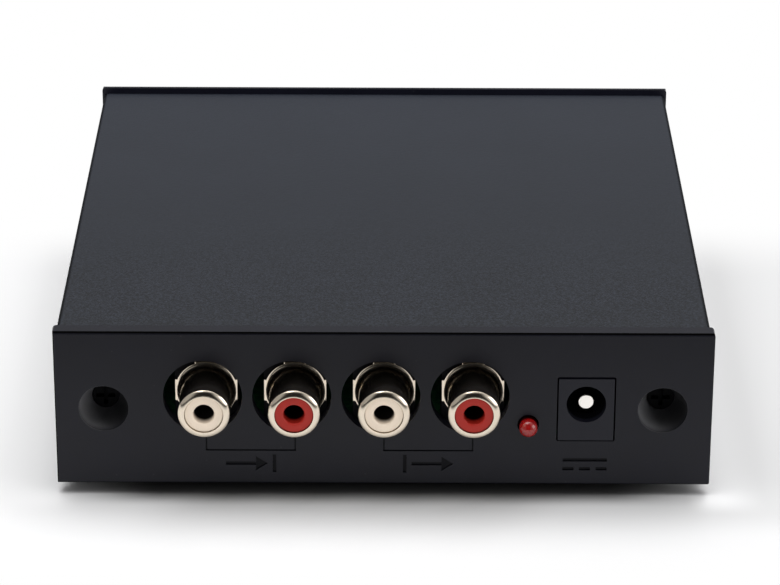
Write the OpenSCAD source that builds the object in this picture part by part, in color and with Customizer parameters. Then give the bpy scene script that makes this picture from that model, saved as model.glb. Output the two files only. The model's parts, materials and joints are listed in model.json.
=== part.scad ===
// Phono preamp: a powder-coated sleeve closed by two moulded end panels. One panel has two
// pairs of phono sockets, a power lamp and a power socket, all carried by one circuit board.
// X runs to the right when the sockets face you, Y runs away from you, Z is up.
// The origin is on the ground, under the middle of the whole length.

/* [Case] */
// Width of both end panels, at their inner face
panel_w = 106.4; // [104:0.2:130]
// Height of both end panels, at their inner face
panel_h = 27.3; // [26.7:0.1:36]
// Thickness of both end panels
panel_t = 2.5; // [2.2:0.1:3.5]
// How much narrower the panels are at their outer face, at each side
panel_draft = 0.15; // [0:0.05:0.3]
// Radius of the panels' corners, seen face on
panel_corner_r = 0.6; // [0.3:0.1:2]
// Rounding of the connector panel's outer edge
near_edge_r = 0.4; // [0.2:0.1:1.5]
// Rounding of the far panel's outer edge
far_edge_r = 2; // [0.5:0.1:2.1]
// Length of the sleeve between the panels
sleeve_l = 107.6; // [100:0.2:140]
// Thickness of the sleeve's walls
sleeve_wall = 1.5; // [1:0.1:2]
// Radius of the sleeve's long outer edges
sleeve_corner_r = 0.8; // [0.3:0.1:2]
// How far the panels stand proud of the sleeve at each side
side_lip = 0.35; // [0.2:0.05:1.2]
// How far the panels stand proud of the sleeve above and below
top_lip = 1.15; // [0.5:0.05:1.5]
// Depth of the panels' ribs inside the sleeve
rib_l = 3; // [1.5:0.5:4]
// Thickness of the panels' ribs
rib_t = 1.2; // [0.8:0.1:1.4]
// Length of the ribs across the case
rib_w = 74; // [40:1:78]
// Gap between the ribs and the sleeve's walls
rib_gap = 0.2; // [0.1:0.05:0.4]

/* [Feet] */
// Radius of a foot
foot_r = 5; // [3:0.5:7]
// Height of a foot
foot_h = 3; // [2:0.5:6]
// Distance of the feet from the sleeve's side edges, to their centres
foot_side = 11.5; // [8:0.5:18]
// Distance of the feet from the sleeve's ends, to their centres
foot_end = 12; // [8:0.5:25]
// How much narrower a foot is at the ground
foot_taper = 0.6; // [0:0.1:1]

/* [Screws] */
// Distance of the screws from the panel's sides
screw_inset = 8; // [7.6:0.1:8.6]
// Radius of the screw wells at the panel's face
well_r = 4; // [3.6:0.1:4.2]
// Depth of the dished part of the wells
well_depth = 5; // [3.5:0.1:5.5]
// Wall of the boss round a well
boss_wall = 0.8; // [0.6:0.1:0.9]
// Thickness of the seat under a screw head
seat_t = 1.3; // [1:0.1:2]
// Radius of a screw head
head_r = 2.2; // [1.9:0.1:2.4]
// Height of a screw head
head_h = 1.7; // [1.2:0.1:2]
// Radius of a screw's shank
shank_r = 1.3; // [1:0.05:1.5]
// Length of a screw's shank
shank_l = 12; // [8:0.5:16]
// Width of the cross in a screw head
cross_w = 0.7; // [0.5:0.1:0.9]
// Depth of the cross in a screw head
cross_depth = 1; // [0.6:0.1:1.1]
// Radius of the ring that each screw bites into
channel_r = 3; // [2.5:0.1:3.2]

/* [Layout across the connector panel] */
// Share of the panel's spare width that lies left of the phono sockets
spare_left = 0.41; // [0.2:0.01:0.5]
// Share of the spare width between the phono sockets and the lamp
spare_before_lamp = 0.11; // [0.05:0.01:0.2]
// Share of the spare width between the lamp and the power socket
spare_after_lamp = 0.24; // [0.1:0.01:0.3]

/* [Phono sockets] */
// Distance from socket to socket
jack_pitch = 14.4; // [14:0.1:15]
// Height of the sockets' axes above the board
jack_axis_h = 7.65; // [7.4:0.05:8.2]
// How far the sockets stand out of the panel
jack_out = 6.8; // [5:0.1:9]
// Radius of a socket's shell
shell_r = 4.15; // [4:0.05:4.3]
// Wall of a socket's shell
shell_wall = 0.5; // [0.4:0.05:0.55]
// Length of the thick rim behind its rounding
rim_l = 0.3; // [0.1:0.1:1]
// Rounding of the shell's mouth
nose_r = 1; // [0.6:0.05:1.1]
// Radius of the insulator at the mouth of a shell
plug_r = 3.1; // [2.7:0.05:3.2]
// Radius of the bore for a plug's centre pin
pin_bore_r = 1.65; // [1.6:0.05:1.75]
// How far the insulator's face lies inside the shell's mouth
plug_recess = 0.25; // [0.1:0.05:0.6]
// Radius of the flange at a shell's root
flange_r = 5; // [4.6:0.1:5.2]
// Thickness of the flange
flange_t = 0.4; // [0.3:0.05:0.6]
// Rounding between the flange and the shell
root_r = 0.45; // [0.2:0.05:0.6]
// Radius of the panel's holes round the sockets
jack_hole_r = 6.4; // [5.8:0.1:6.6]
// How far the panel's holes lie to the right of the sockets' axes
jack_hole_dx = -0.5; // [-0.8:0.1:0.8]
// How far the panel's holes lie above the sockets' axes
jack_hole_dz = 0; // [-0.4:0.1:0.4]
// Depth of a socket's housing behind the flange
housing_l = 9; // [8:0.5:12]

/* [Power socket] */
// Width of the power socket's housing
dc_w = 9; // [8.4:0.1:9.4]
// Height of the power socket's housing
dc_h = 11; // [10.6:0.1:11.4]
// Length of the power socket's housing
dc_l = 14.2; // [14:0.1:16]
// Height of the power socket's axis above the board
dc_axis_h = 6.5; // [6.3:0.1:6.9]
// Radius of the power socket's bore
dc_bore_r = 3.2; // [3:0.05:3.3]
// Depth of the power socket's bore
dc_bore_depth = 10.5; // [9.5:0.1:10.8]
// Radius of the power socket's centre pin
dc_pin_r = 1.25; // [1:0.05:1.3]
// How far the centre pin's tip lies behind the panel's face
dc_pin_recess = 1; // [0.5:0.1:3]
// Gap between the power socket and the edge of its hole
dc_gap = 0.25; // [0.1:0.05:0.5]

/* [Lamp] */
// Height of the lamp's axis above the board
led_axis_h = 2.7; // [2.2:0.1:4]
// Radius of the lamp
led_r = 1.5; // [1.2:0.1:1.6]
// How far the lamp's dome stands out of the panel
led_out = 2.3; // [1.7:0.1:4]
// Radius of the panel's hole for the lamp
led_hole_r = 1.75; // [1.7:0.05:2]

/* [Marks on the panel] */
// Depth of the marks and of the brackets' lines
mark_depth = 0.25; // [0.1:0.05:0.6]
// Width of the marks' strokes
mark_stroke = 0.6; // [0.3:0.05:0.9]
// Width of the brackets' lines
bracket_w = 0.25; // [0.15:0.05:0.5]
// Height of the brackets' level line above the panel's bottom edge
bracket_z = 6.25; // [5.95:0.05:6.6]
// Height of the marks' middles above the panel's bottom edge
mark_z = 3.85; // [3.2:0.05:4.1]
// Height of the marks
mark_h = 3.2; // [2:0.1:3.6]

/* [Circuit board] */
// Height of the board's upper face above the panels' bottom edges
board_top_h = 8.15; // [7.75:0.05:8.5]
// Thickness of the board
board_t = 1.6; // [1:0.1:2]
// Gap between the board and what holds it
board_gap = 0.15; // [0.05:0.05:0.3]
// How far the sleeve's ledges reach under and over the board
ledge_w = 2; // [1.5:0.1:2.4]
// Thickness of the sleeve's ledges
ledge_t = 1; // [0.8:0.1:1.4]
// Side of the parts' square legs
leg = 0.6; // [0.4:0.05:0.8]
// Gap between a leg and its hole in the board
leg_gap = 0.15; // [0.1:0.05:0.3]
// How far the legs stand out under the board
leg_out = 1; // [0.5:0.1:1.4]

/* [Parts on the board] */
// Radius of a signal capacitor
signal_cap_r = 3.15; // [2.5:0.05:3.5]
// Height of a signal capacitor
signal_cap_h = 11; // [7:0.5:12]
// Radius of a supply capacitor
supply_cap_r = 5; // [4:0.1:5.5]
// Height of a supply capacitor
supply_cap_h = 12; // [8:0.5:12]
// Length of a film capacitor
film_cap_l = 7.2; // [6.4:0.1:9]
// Thickness of a film capacitor
film_cap_w = 3; // [2.4:0.1:3.6]
// Height of a film capacitor
film_cap_h = 7.5; // [5:0.1:9]
// Length of an amplifier chip
chip_l = 9.6; // [9.2:0.1:10.4]
// Width of an amplifier chip
chip_w = 6.4; // [6:0.1:6.6]
// Thickness of an amplifier chip
chip_t = 3.4; // [3:0.1:3.8]
// Radius of a resistor's body
resistor_r = 1.2; // [0.8:0.05:1.3]
// Length of a resistor's body
resistor_l = 6.3; // [5:0.1:7]
// Distance from resistor to resistor
resistor_pitch = 3.6; // [3.2:0.1:4]
// Number of resistors to a channel
resistor_count = 6; // [2:1:6]
// Radius of the supply choke
choke_r = 4; // [3:0.1:5]
// Height of the supply choke
choke_h = 9; // [6:0.5:11]

/* [Hidden] */
$fn = 64;

black_plastic = [0.13, 0.13, 0.14];
powder_coat = [0.17, 0.17, 0.18];
nickel = [0.78, 0.75, 0.7];
ivory = [0.88, 0.84, 0.75];
signal_red = [0.66, 0.1, 0.1];

bite = 0.01;      // overlap that makes a join clean
over = 1;         // how far a cut runs past the face it opens
press_gap = 0.03; // gap between pieces that are pressed or glued together
seat_gap = 0.1;   // gap between pieces that are screwed or clipped together

// Levels, from the ground up
sleeve_z0 = foot_h;
panel_z0 = sleeve_z0 - top_lip;
mid_z = panel_z0 + panel_h / 2;
board_z1 = panel_z0 + board_top_h;
board_z0 = board_z1 - board_t;
jack_z = board_z1 + jack_axis_h;
dc_z = board_z1 + dc_axis_h;
led_z = board_z1 + led_axis_h;

// Planes along Y, from the sockets to the far end
face_y = (jack_out - 2 * panel_t - sleeve_l) / 2;
sleeve_y0 = face_y + panel_t;
sleeve_y1 = sleeve_y0 + sleeve_l;
board_y0 = sleeve_y0 + seat_gap * 2;
board_y1 = sleeve_y1 - seat_gap * 2;

// Sizes across
sleeve_w = panel_w - 2 * side_lip;
sleeve_h = panel_h - 2 * top_lip;
inner_w = sleeve_w - 2 * sleeve_wall;
inner_h = sleeve_h - 2 * sleeve_wall;
board_w = inner_w - 2 * board_gap;

// Screws: the head lies under the dish, on the seat of the boss
head_gap = 0.1;
head_pocket_r = head_r + head_gap;
head_depth = well_depth + head_h;
boss_l = head_depth + seat_t;
boss_r = well_r + boss_wall;
boss_in = boss_l - panel_t;
screw_x = panel_w / 2 - screw_inset;
shank_hole_r = shank_r + head_gap;
// The dish is an arc that starts square to the face and meets the head's pocket
dish_arc = (pow(well_r - head_pocket_r, 2) + pow(well_depth, 2)) / (2 * (well_r - head_pocket_r));
mouth_step = 0.05;  // the plug that opens a well past the face is this much narrower
cross_l = 1.4 * head_r;

// Layout across the panel: what the holes leave of the width between the bosses is shared out
room_x0 = -screw_x + boss_r;
room_w = 2 * (screw_x - boss_r);
dc_hole_w = dc_w + 2 * dc_gap;
dc_hole_h = dc_h + 2 * dc_gap;
dc_hole_corner_r = 0.4;
spare_w = room_w - 3 * jack_pitch - 2 * jack_hole_r - 2 * led_hole_r - dc_hole_w;
first_jack_x = room_x0 + spare_left * spare_w + jack_hole_r - jack_hole_dx;
last_hole_x1 = first_jack_x + 3 * jack_pitch + jack_hole_dx + jack_hole_r;
led_x = last_hole_x1 + spare_before_lamp * spare_w + led_hole_r;
dc_x = led_x + led_hole_r + spare_after_lamp * spare_w + dc_hole_w / 2;

// Phono sockets, measured outwards from the flange's face
shell_l = jack_out + panel_t + seat_gap;
lug_out = 0.1;
jack_side = flange_r + lug_out;
housing_top = flange_r;
insulator_r = shell_r - shell_wall - press_gap;
contact_r = 2.3;
contact_wall = 0.45;
contact_front = 3;
insulator_back = 3;
contact_back = 6;
tail_w = 1.2;
tail_t = 0.4;
contact_tail_y = contact_back - 2 * tail_t;
bore_chamfer = 0.3;
edge_slot = 1;  // how far the slots for the shells' tails run out past the board's edge
lug_w = 3.6;
lug_low = 2.4;
lug_high = 1.9;

// Power socket, measured inwards from the panel's face and down from its axis
dc_root_r = 1.7;
dc_pin_tip_r = 0.35;
leaf_pivot_in = 11.5;
leaf_pivot_down = 4;
leaf_knuckle_r = 0.4;
leaf_crest_in = 6.5;
leaf_crest_down = 2.45;
leaf_tip_in = 4;
leaf_tip_down = 3.05;
leaf_t = 0.25;
leaf_w = 2.4;
leaf_gap = 0.2;
leaf_travel = 0.6;
leaf_slot_down = dc_root_r + 4 * press_gap;
leaf_terminal_in = leaf_pivot_in - 2 * leaf_knuckle_r - leaf_gap;
ear_w = 2.3;
ear_l = 0.6;
dc_tail_in = 12.6;

// The fixed contact over the leaf's ear: a finger and the post that carries it
switch_reach = 0.6;
switch_post_w = 0.6;
switch_post_x = ear_w + switch_reach + switch_post_w / 2;
switch_t = 0.35;
switch_gap = 0.05;

// Lamp
led_flange_r = 1.9;
led_flange_t = 1;
led_leg_pitch = 2.54;
led_leg_in = 5;

// Places of the parts on the board: X across, Y inwards from the panel's face
signal_cap_in = 19;
film_cap_in = 28.5;
chip_in = 38;
resistor_in = 47;
supply_parts_x = dc_x;
diode_in = 19;
supply_cap_raw_in = 28.5;
supply_cap_clean_in = 41;
choke_in = 53;
regulator_in = 62.5;
leg_pitch = 2.54;
cap_leg_pitch = 2.5;
big_leg_pitch = 5;
film_leg_pitch = 5;
resistor_leg_pitch = 10.16;
part_lift = 0.05;  // parts stand this far off the board
leg_in = 0.2;      // legs reach this far up into their parts

// The parts' own shapes
chip_row = 3.81;  // from a chip's middle to each row of its legs
chip_lift = 0.5;
chip_notch_r = 0.8;
chip_notch_depth = 0.5;
can_groove_h = 1.2;
can_groove_r = 0.5;
can_groove_depth = 0.35;
can_vent_w = 0.3;
diode_r = 1.35;
diode_l = 5.2;
choke_cheek_t = 1.4;
choke_core_in = 0.6;
regulator_r = 2.4;
regulator_h = 4.6;
regulator_flat = 1.45;
regulator_lift = 2;

// Marks on the panel
mark_l = 8.2;
mark_gap = 0.8;
arrow_head_l = 0.6 * mark_h;
arrow_head_w = 0.8 * mark_h;
dash_l = 1.8;
dash_gap = 0.9;

function jack_x(i) = first_jack_x + i * jack_pitch;
function pair_x(p) = first_jack_x + (2 * p + 0.5) * jack_pitch;

// Leg places as [x, inward distance]
function two_legs(x, in, pitch) = [for (s = [-1, 1]) [x + s * pitch / 2, in]];
function chip_legs_at(p) = [for (sx = [-1.5 : 1.5], sy = [-1, 1])
    [pair_x(p) + sx * leg_pitch, chip_in + sy * chip_row]];
function resistor_at(p, k) = [pair_x(p), resistor_in + k * resistor_pitch];
leg_places = [
    for (i = [0 : 3]) each two_legs(jack_x(i), signal_cap_in, cap_leg_pitch),
    for (i = [0 : 3]) each two_legs(jack_x(i), film_cap_in, film_leg_pitch),
    for (p = [0, 1]) each chip_legs_at(p),
    for (p = [0, 1], k = [0 : resistor_count - 1])
        each two_legs(resistor_at(p, k)[0], resistor_at(p, k)[1], resistor_leg_pitch),
    each two_legs(supply_parts_x, diode_in, resistor_leg_pitch),
    each two_legs(supply_parts_x, supply_cap_raw_in, big_leg_pitch),
    each two_legs(supply_parts_x, supply_cap_clean_in, big_leg_pitch),
    each two_legs(supply_parts_x, choke_in, big_leg_pitch),
    for (s = [-1 : 1]) [supply_parts_x + s * leg_pitch, regulator_in],
    each two_legs(led_x, led_leg_in, led_leg_pitch)];

// ---- Helpers -------------------------------------------------------------------------

// An outline in X and Z, made solid from y0 to y1
module along_y(y0, y1) {
    translate([0, y1, 0]) rotate([90, 0, 0]) linear_extrude(y1 - y0) children();
}

// An outline in Y and Z, made solid from x0 to x1
module along_x(x0, x1) {
    translate([x0, 0, 0]) rotate([90, 0, 90]) linear_extrude(x1 - x0) children();
}

// A box given by its low and high corners
module block(low, high) {
    translate(low) cube(high - low);
}

// A rectangle about the origin with round corners
module rounded_rect(w, h, r) {
    square([w - 2 * r, h], center = true);
    square([w, h - 2 * r], center = true);
    for (sx = [-1, 1], sy = [-1, 1])
        translate([sx * (w / 2 - r), sy * (h / 2 - r)]) circle(r);
}

// Section of a panel: thickness along the first axis, sides leaning in by the draft, and outer
// corners rounded by circles that touch the sides and the face
module panel_section(span, r) {
    lean = atan(panel_draft / panel_t);
    round_mid = span / 2 - (panel_t - r) * tan(lean) - r / cos(lean);
    touch = [panel_t - r + r * sin(lean), round_mid + r * cos(lean)];
    intersection() {
        translate([0, -span / 2]) square([panel_t, span]);
        union() {
            polygon([[0, -span / 2], [touch.x, -touch.y], touch, [0, span / 2]]);
            translate([0, -round_mid]) square([panel_t, 2 * round_mid]);
            for (s = [-1, 1]) translate([panel_t - r, s * round_mid]) circle(r);
        }
    }
}

// ---- Case ----------------------------------------------------------------------------

// A panel's plate: inner face at y = 0, outer face at y = panel_t, centred in X and Z
module panel_plate(edge_r) {
    intersection() {
        along_y(-over, panel_t + over) rounded_rect(panel_w, panel_h, panel_corner_r);
        along_x(-panel_w, panel_w) panel_section(panel_h, edge_r);
        translate([0, 0, -panel_h]) linear_extrude(2 * panel_h)
            mirror([1, -1]) panel_section(panel_w, edge_r);
    }
}

// The ribs that reach into the sleeve above and below
module panel_ribs() {
    for (s = [-1, 1])
        translate([-rib_w / 2, -rib_l, s * (inner_h / 2 - rib_gap - rib_t / 2) - rib_t / 2])
            cube([rib_w, rib_l + panel_t / 2, rib_t]);
}

// The dished well, the head's pocket and the screw's hole, cut inwards from the face
module well_cut() {
    translate([0, panel_t, 0]) rotate([90, 0, 0]) {
        rotate_extrude() intersection() {
            square([well_r, well_depth]);
            translate([well_r - dish_arc, 0]) circle(dish_arc, $fn = 160);
        }
        translate([0, 0, -over]) cylinder(h = well_depth / 10 + over, r = well_r - mouth_step);
        translate([0, 0, well_depth / 2]) cylinder(h = head_depth - well_depth / 2, r = head_pocket_r);
        cylinder(h = boss_l + over, r = shank_hole_r);
    }
}

// A whole panel with its screw wells, before the holes for the sockets
module blank_panel(edge_r) {
    difference() {
        union() {
            panel_plate(edge_r);
            panel_ribs();
            for (s = [-1, 1]) translate([s * screw_x, panel_t - boss_l, 0])
                rotate([-90, 0, 0]) cylinder(h = boss_l - panel_t / 2, r = boss_r);
        }
        for (s = [-1, 1]) translate([s * screw_x, 0, 0]) well_cut();
    }
}

// An arrow along X from the origin, as the marks on the panel have it
module arrow_mark(l) {
    translate([0, -mark_stroke / 2]) square([l - arrow_head_l / 2, mark_stroke]);
    translate([l, 0])
        polygon([[0, 0], [-arrow_head_l, arrow_head_w / 2], [-arrow_head_l, -arrow_head_w / 2]]);
}

// A mark of an arrow and a bar: the bar behind what goes in, or before what comes out
module flow_mark(bar_first) {
    arrow_l = mark_l - mark_gap - mark_stroke;
    translate([-mark_l / 2, 0]) {
        translate([bar_first ? mark_l - arrow_l : 0, 0]) arrow_mark(arrow_l);
        translate([bar_first ? 0 : mark_l - mark_stroke, -mark_h / 2]) square([mark_stroke, mark_h]);
    }
}

// The common sign for direct current: a line over three dashes
module direct_current_mark() {
    for (k = [-1 : 1]) translate([k * (dash_l + dash_gap), -mark_h / 4])
        square([dash_l, mark_stroke], center = true);
    translate([0, mark_h / 4]) square([3 * dash_l + 2 * dash_gap, mark_stroke], center = true);
}

// The bracket under one pair of sockets
module bracket_line() {
    square([jack_pitch + bracket_w, bracket_w], center = true);
    for (s = [-1, 1]) translate([s * jack_pitch / 2 - bracket_w / 2, 0])
        square([bracket_w, jack_z + jack_hole_dz - jack_hole_r - panel_z0 - bracket_z + 2 * bracket_w]);
}

// All that is sunk into the panel's face, as an outline in X and Z
module face_marks() {
    for (p = [0, 1]) translate([pair_x(p), panel_z0 + bracket_z]) bracket_line();
    for (p = [0, 1]) translate([pair_x(p), panel_z0 + mark_z]) flow_mark(p == 1);
    translate([dc_x, panel_z0 + mark_z]) direct_current_mark();
}

module connector_panel() {
    color(black_plastic) difference() {
        translate([0, sleeve_y0, mid_z]) mirror([0, 1, 0]) blank_panel(near_edge_r);
        for (i = [0 : 3]) translate([jack_x(i) + jack_hole_dx, face_y - over, jack_z + jack_hole_dz])
            rotate([-90, 0, 0]) cylinder(h = panel_t + 2 * over, r = jack_hole_r);
        translate([led_x, face_y - over, led_z + (led_hole_r - led_r) / 2])
            rotate([-90, 0, 0]) cylinder(h = panel_t + 2 * over, r = led_hole_r);
        translate([dc_x, 0, board_z1 + (dc_h + dc_gap) / 2])
            along_y(face_y - over, sleeve_y0 + over)
                rounded_rect(dc_hole_w, dc_hole_h, dc_hole_corner_r);
        along_y(face_y - over, face_y + mark_depth) face_marks();
    }
}

module far_panel() {
    color(black_plastic) translate([0, sleeve_y1, mid_z]) blank_panel(far_edge_r);
}

// The section of the sleeve, about its own middle
module sleeve_section() {
    board_mid = (board_z0 + board_z1) / 2 - mid_z;
    ledge_in = board_t / 2 + board_gap;
    difference() {
        rounded_rect(sleeve_w, sleeve_h, sleeve_corner_r);
        square([inner_w, inner_h], center = true);
    }
    for (s = [-1, 1], up = [-1, 1])
        translate([s * (inner_w / 2 - ledge_w / 2 + bite), board_mid + up * (ledge_in + ledge_t / 2)])
            square([ledge_w + 2 * bite, ledge_t], center = true);
}

// The two rings that the screws bite into, and the webs that carry them
module channel_section() {
    web_t = 2;
    slot_h = shank_r;
    for (s = [-1, 1]) difference() {
        union() {
            translate([s * screw_x, 0]) circle(channel_r);
            translate([s * (screw_x + inner_w / 2 + bite) / 2, 0])
                square([inner_w / 2 - screw_x + bite, web_t], center = true);
        }
        translate([s * screw_x, 0]) circle(shank_r + press_gap);
        translate([s * (screw_x - channel_r), 0]) square([2 * channel_r, slot_h], center = true);
    }
}

module sleeve() {
    color(powder_coat) translate([0, 0, mid_z]) {
        along_y(sleeve_y0, sleeve_y1) sleeve_section();
        along_y(sleeve_y0 + boss_in + seat_gap, sleeve_y1 - boss_in - seat_gap) channel_section();
    }
}

// One screw: head out at z = head_h, seat at z = 0, shank down
module screw() {
    difference() {
        cylinder(h = head_h, r = head_r);
        for (a = [0, 90]) rotate([0, 0, a])
            translate([-cross_l / 2, -cross_w / 2, head_h - cross_depth])
                cube([cross_l, cross_w, cross_depth + over]);
    }
    translate([0, 0, -shank_l]) cylinder(h = shank_l + (head_h - cross_depth) / 2, r = shank_r);
}

module panel_screws() {
    color([0.08, 0.08, 0.08]) for (s = [-1, 1]) {
        translate([s * screw_x, face_y + head_depth, mid_z]) rotate([90, 0, 0]) screw();
        translate([s * screw_x, sleeve_y1 + panel_t - head_depth, mid_z])
            rotate([-90, 0, 0]) screw();
    }
}

// One foot, on the left or right and at the near or far end
module foot(side, far) {
    color([0.06, 0.06, 0.06])
        translate([side * (sleeve_w / 2 - foot_side), far ? sleeve_y1 - foot_end : sleeve_y0 + foot_end, 0])
            cylinder(h = foot_h, r1 = foot_r - foot_taper, r2 = foot_r);
}

// ---- Phono sockets -------------------------------------------------------------------

// A socket's own axes: x to the right, y up, z out of the panel, 0 at the flange's face
module at_jack(i) {
    translate([jack_x(i), sleeve_y0 + seat_gap, jack_z]) rotate([90, 0, 0]) children();
}

// The flange's outline: a disc with a flat lug on top and one at each side
module flange_outline() {
    circle(flange_r);
    translate([-lug_w / 2, 0]) square([lug_w, jack_side]);
    translate([-jack_side, -lug_low]) square([2 * jack_side, lug_low + lug_high]);
}

// Section of a shell, radius along X: the wall, its rounded root and its thick rim
module shell_section() {
    rim_y = shell_l - nose_r - rim_l;
    translate([shell_r - shell_wall, -bite]) square([shell_wall, shell_l - nose_r + bite]);
    difference() {
        translate([shell_r - bite, -bite]) square([root_r + bite, root_r + bite]);
        translate([shell_r + root_r, root_r]) circle(root_r);
    }
    intersection() {
        translate([plug_r + press_gap, rim_y]) square([shell_r - plug_r - press_gap, rim_l + nose_r]);
        union() {
            translate([0, rim_y]) square([shell_r - nose_r, rim_l + nose_r]);
            translate([0, rim_y]) square([shell_r, rim_l]);
            translate([shell_r - nose_r, shell_l - nose_r]) circle(nose_r);
        }
    }
}

// The nickel shell: a tube with a thick round-nosed rim, its flange and its tail
module phono_shell(i) {
    color(nickel) at_jack(i) {
        rotate_extrude() shell_section();
        difference() {
            translate([0, 0, -flange_t]) linear_extrude(flange_t) union() {
                flange_outline();
                translate([-tail_w / 2, -jack_axis_h - board_t - leg_out])
                    square([tail_w, jack_axis_h + board_t + leg_out]);
            }
            translate([0, 0, -over]) cylinder(h = 2 * over, r = shell_r - shell_wall);
        }
    }
}

// The insulator: fills the shell and holds the centre contact
module phono_insulator(i) {
    in_front = shell_l - plug_recess;
    color(i % 2 == 0 ? ivory : signal_red) at_jack(i) difference() {
        rotate_extrude() {
            translate([pin_bore_r, -insulator_back])
                square([insulator_r - pin_bore_r, insulator_back + shell_l - nose_r - rim_l - press_gap]);
            translate([pin_bore_r, -insulator_back])
                square([plug_r - pin_bore_r, insulator_back + in_front]);
        }
        translate([0, 0, in_front - bore_chamfer])
            cylinder(h = bore_chamfer + bite, r1 = pin_bore_r, r2 = pin_bore_r + bore_chamfer);
        translate([0, 0, -insulator_back - over])
            cylinder(h = insulator_back + over + contact_front + press_gap, r = contact_r + press_gap);
    }
}

// The centre contact: a sleeve for the plug's pin, closed behind, with its tail
module phono_contact(i) {
    color([0.8, 0.7, 0.45]) at_jack(i) {
        difference() {
            translate([0, 0, -contact_back]) cylinder(h = contact_back + contact_front, r = contact_r);
            translate([0, 0, -contact_back + contact_wall])
                cylinder(h = contact_back + contact_front, r = contact_r - contact_wall);
        }
        translate([-tail_w / 2, -jack_axis_h - board_t - leg_out, -contact_tail_y - tail_t / 2])
            cube([tail_w, jack_axis_h + board_t + leg_out - contact_r + contact_wall / 2, tail_t]);
    }
}

// The black housing that stands on the board behind the flange
module phono_housing(i) {
    color([0.05, 0.05, 0.05]) at_jack(i) difference() {
        block([-jack_side, -jack_axis_h + part_lift, -flange_t - housing_l],
              [jack_side, housing_top, -flange_t - press_gap]);
        translate([0, 0, -insulator_back - press_gap])
            cylinder(h = insulator_back + over, r = insulator_r + press_gap);
        translate([0, 0, -contact_back - press_gap])
            cylinder(h = contact_back, r = contact_r + press_gap);
        block([-tail_w / 2 - press_gap, -jack_axis_h - over, -contact_tail_y - tail_t / 2 - press_gap],
              [tail_w / 2 + press_gap, 0, -contact_tail_y + tail_t / 2 + press_gap]);
    }
}

// ---- Power socket --------------------------------------------------------------------

// The power socket's own axes: x to the right, y down from the axis, z inwards from the face
module at_dc() {
    translate([dc_x, face_y, dc_z]) rotate([-90, 0, 0]) children();
}

module dc_housing() {
    color([0.1, 0.1, 0.105]) at_dc() difference() {
        block([-dc_w / 2, dc_axis_h - dc_h, 0], [dc_w / 2, dc_axis_h - part_lift, dc_l]);
        translate([0, 0, -over]) cylinder(h = dc_bore_depth + over, r = dc_bore_r);
        // seat and tail of the centre pin
        translate([0, 0, dc_bore_depth - over])
            cylinder(h = dc_tail_in - dc_bore_depth + over, r = dc_root_r + press_gap);
        block([-tail_w / 2 - press_gap, 0, dc_tail_in - tail_t - press_gap],
              [tail_w / 2 + press_gap, dc_axis_h + over, dc_tail_in + press_gap]);
        // room for the spring leaf, its knuckle and its ear
        block([-leaf_w / 2 - leaf_gap, leaf_slot_down, leaf_tip_in - ear_l],
              [leaf_w / 2 + leaf_gap, leaf_pivot_down + leaf_knuckle_r + leaf_gap,
               leaf_pivot_in + leaf_knuckle_r + leaf_gap]);
        block([0, leaf_tip_down - leaf_gap / 2, leaf_tip_in - ear_l],
              [ear_w + leaf_gap, leaf_tip_down + leaf_t + leaf_travel + leaf_gap, leaf_tip_in + ear_l]);
        leaf_terminal_shape(press_gap);
        switch_contact_shape(press_gap);
    }
}

// The centre pin: round tip, root set in the housing, flat tail through the board
module dc_pin() {
    round_in = dc_pin_recess + dc_pin_tip_r;
    color(nickel) at_dc() {
        rotate_extrude() {
            translate([0, round_in]) square([dc_pin_r, dc_bore_depth - round_in]);
            translate([0, dc_pin_recess]) square([dc_pin_r - dc_pin_tip_r, 2 * dc_pin_tip_r]);
            translate([dc_pin_r - dc_pin_tip_r, round_in]) circle(dc_pin_tip_r);
            translate([0, dc_bore_depth]) square([dc_root_r, dc_tail_in - dc_bore_depth]);
        }
        block([-tail_w / 2, dc_pin_r, dc_tail_in - tail_t],
              [tail_w / 2, dc_axis_h + board_t + leg_out, dc_tail_in]);
    }
}

// The sprung leaf that presses on a plug's sleeve, turning about its knuckle
module dc_spring_leaf() {
    color(nickel) at_dc() {
        rotate([0, 90, 0]) translate([0, 0, -leaf_w / 2]) linear_extrude(leaf_w) polygon([
            [-leaf_pivot_in, leaf_pivot_down - leaf_t], [-leaf_crest_in, leaf_crest_down],
            [-leaf_tip_in, leaf_tip_down], [-leaf_tip_in, leaf_tip_down + leaf_t],
            [-leaf_crest_in, leaf_crest_down + leaf_t], [-leaf_pivot_in, leaf_pivot_down]]);
        translate([-leaf_w / 2, leaf_pivot_down, leaf_pivot_in]) rotate([0, 90, 0])
            cylinder(h = leaf_w, r = leaf_knuckle_r);
        block([0, leaf_tip_down, leaf_tip_in - ear_l / 2],
              [ear_w, leaf_tip_down + leaf_t, leaf_tip_in + ear_l / 2]);
    }
}

// The leaf's terminal, down through the board just behind the knuckle
module leaf_terminal_shape(gap) {
    top_down = leaf_pivot_down + leaf_knuckle_r + leaf_gap / 2;
    block([-tail_w / 2 - gap, top_down - gap, leaf_terminal_in - tail_t - gap],
          [tail_w / 2 + gap, dc_axis_h + board_t + leg_out + gap, leaf_terminal_in + gap]);
}

module dc_leaf_terminal() {
    color(nickel) at_dc() leaf_terminal_shape(0);
}

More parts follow.
